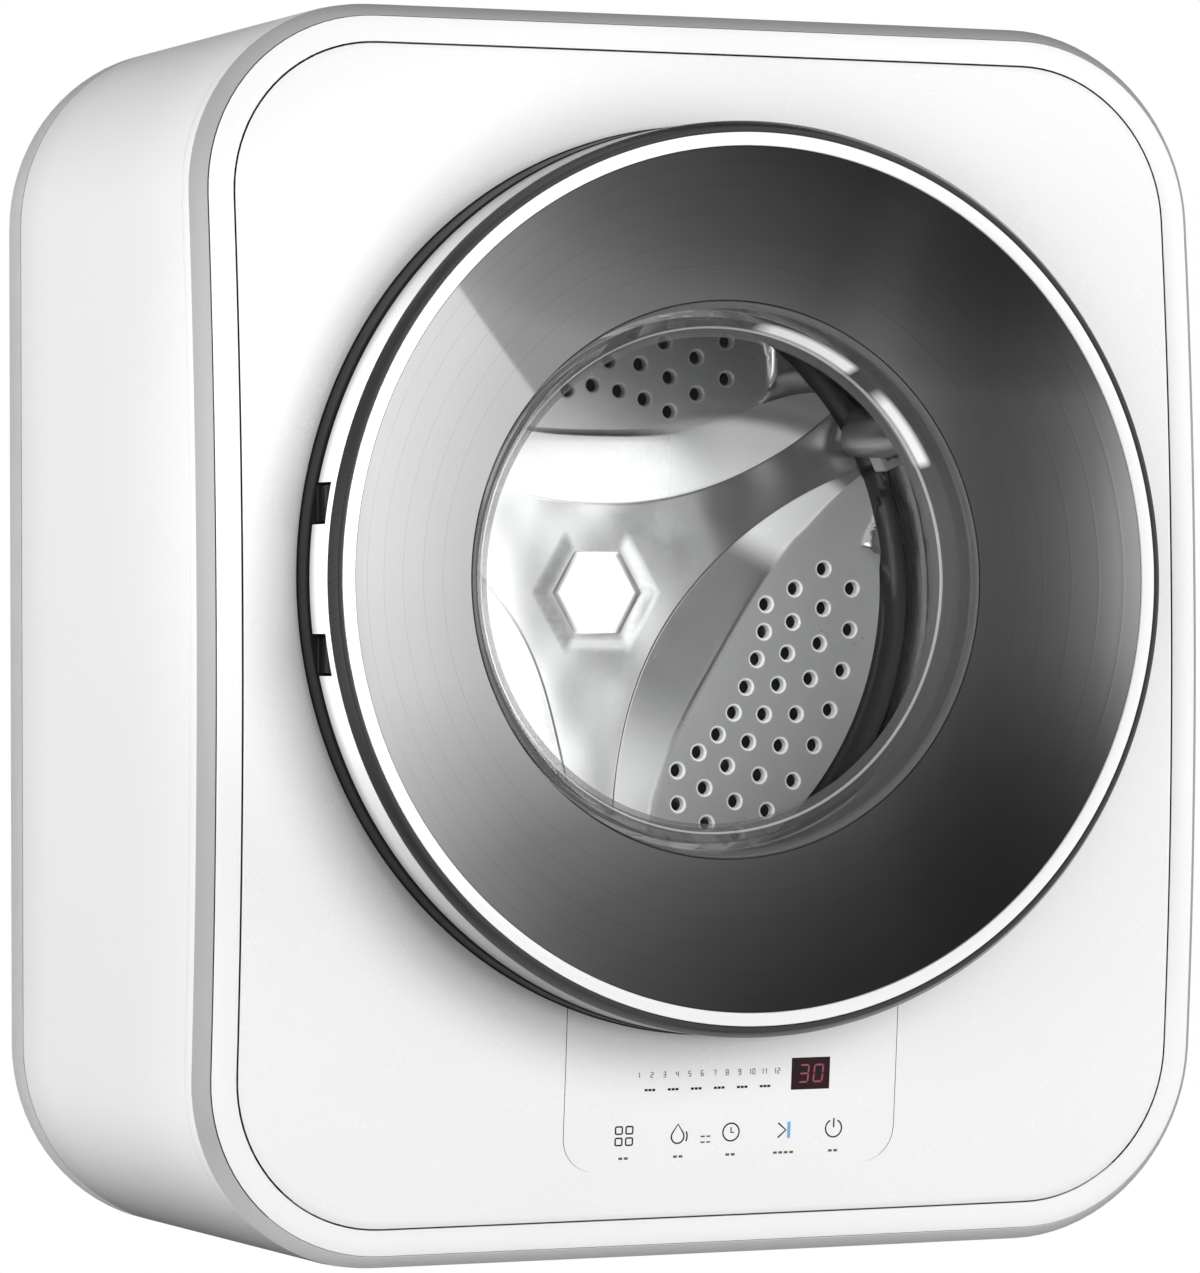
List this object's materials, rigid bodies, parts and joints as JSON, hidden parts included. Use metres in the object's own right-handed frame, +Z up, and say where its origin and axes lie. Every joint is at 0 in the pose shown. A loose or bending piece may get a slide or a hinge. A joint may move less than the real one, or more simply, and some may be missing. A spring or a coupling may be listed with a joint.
{
  "type": "wall mounted washing machine",
  "caption": "Wall mounted front-loading washing machine with a rounded white cabinet, large round hinged door, belt-driven drum, drain pump and wall plate.",
  "frame": {"origin": "centre of the wall plate's back face, which is also the cabinet's mid height and mid width", "axes": "+Z up the wall, +Y into the wall (the outward normal of the wall plate), +X to the right as seen by the user; the door faces -Y"},
  "size_m": [0.53, 0.341, 0.615],
  "materials": {
    "white_shell": "satin white enamel-like plastic, faint orange peel",
    "trim_grey": "satin silver-grey plastic",
    "cover_grey": "fine-textured light grey plastic",
    "black_plastic": "semi-gloss black plastic",
    "dark_metal": "dark metallic-lacquered plastic",
    "smoked_plastic": "glossy smoked dark grey plastic",
    "clear_glass": "clear tempered glass, polished",
    "display_glass": "dark red tinted display window",
    "white_plastic": "moulded white plastic",
    "tub_plastic": "glass-filled light grey plastic",
    "stainless": "brushed and pressed stainless steel",
    "bright_steel": "ground bright steel",
    "zinc_steel": "zinc-plated steel",
    "cast_aluminium": "as-cast aluminium",
    "grey_rubber": "matte grey rubber",
    "black_rubber": "matte black rubber",
    "board_green": "green solder-masked board"
  },
  "bodies": {
    "cabinet": {"cabinet_wrap": "white_shell", "trim_band": "trim_grey", "front_frame": "white_shell", "front_panel": "white_shell", "control_lens": "white_shell", "display_window": "display_glass", "control_board": "board_green", "rear_cover": "cover_grey", "wall_plate": "zinc_steel", "wall_bolt_1": "zinc_steel", "wall_bolt_2": "zinc_steel", "wall_bolt_3": "zinc_steel", "wall_bolt_4": "zinc_steel", "base_ring": "black_plastic", "hinge_bracket_upper": "black_plastic", "hinge_bracket_lower": "black_plastic", "door_lock": "white_plastic", "bellows": "grey_rubber", "tub_front": "tub_plastic", "tub_rear": "tub_plastic", "shaft_seal": "black_rubber", "bearing_front": "bright_steel", "bearing_rear": "bright_steel", "tub_mount_1": "black_rubber", "tub_mount_2": "black_rubber", "tub_mount_3": "black_rubber", "tub_mount_4": "black_rubber", "drive_belt": "black_rubber", "motor_housing": "cast_aluminium", "pump_housing": "white_plastic", "pump_cover": "white_plastic", "sump_hose": "grey_rubber", "drain_outlet": "white_plastic", "drain_hose": "grey_rubber", "inlet_valve": "white_plastic", "fill_hose": "grey_rubber", "detergent_box": "white_plastic", "cable_gland": "black_plastic"},
    "door": {"door_front_ring": "white_shell", "door_dark_ring": "dark_metal", "door_side_ring": "white_shell", "door_grip_cup": "black_plastic", "door_window_cone": "smoked_plastic", "door_glass_bowl": "clear_glass", "door_inner_frame": "white_plastic", "hinge_block": "dark_metal", "hinge_pin": "bright_steel"},
    "latch": {"latch_hook": "zinc_steel"},
    "drum": {"drum_back": "stainless", "drum_shell": "stainless", "lifter_1": "white_plastic", "lifter_2": "white_plastic", "lifter_3": "white_plastic", "drum_spider": "cast_aluminium", "drum_shaft": "bright_steel", "drum_pulley": "cast_aluminium"},
    "motor_rotor": {"motor_shaft": "bright_steel", "motor_pulley": "zinc_steel"},
    "pump_rotor": {"pump_impeller": "white_plastic"},
    "detergent_flap": {"detergent_lid": "white_shell"}
  },
  "joints": [
    {"name": "door_hinge", "type": "hinge", "parent": "cabinet", "child": "door", "pos_m": [-0.209, -0.324, 0.0264], "axis": [0, 0, -1], "range_deg": [0, 105]},
    {"name": "latch_pivot", "type": "hinge", "parent": "door", "child": "latch", "pos_m": [0.185, -0.32, 0.0264], "axis": [0, 0, -1], "range_deg": [0, 6], "stiffness_Nm_per_rad": 0.1},
    {"name": "drum_spin", "type": "hinge", "parent": "cabinet", "child": "drum", "pos_m": [0, -0.15, 0.0216], "axis": [0, 1, 0], "continuous": true},
    {"name": "motor_spin", "type": "hinge", "parent": "cabinet", "child": "motor_rotor", "pos_m": [0.07, -0.06, -0.228], "axis": [0, 1, 0], "continuous": true},
    {"name": "pump_spin", "type": "hinge", "parent": "cabinet", "child": "pump_rotor", "pos_m": [-0.09, -0.125, -0.246], "axis": [0, 1, 0], "continuous": true},
    {"name": "flap_hinge", "type": "hinge", "parent": "cabinet", "child": "detergent_flap", "pos_m": [-0.1, -0.172, 0.29855], "axis": [-1, 0, 0], "range_deg": [0, 100]}
  ],
  "couplings": [
    {"joint": "motor_spin", "follows": "drum_spin", "ratio": 8.3333}
  ]
}
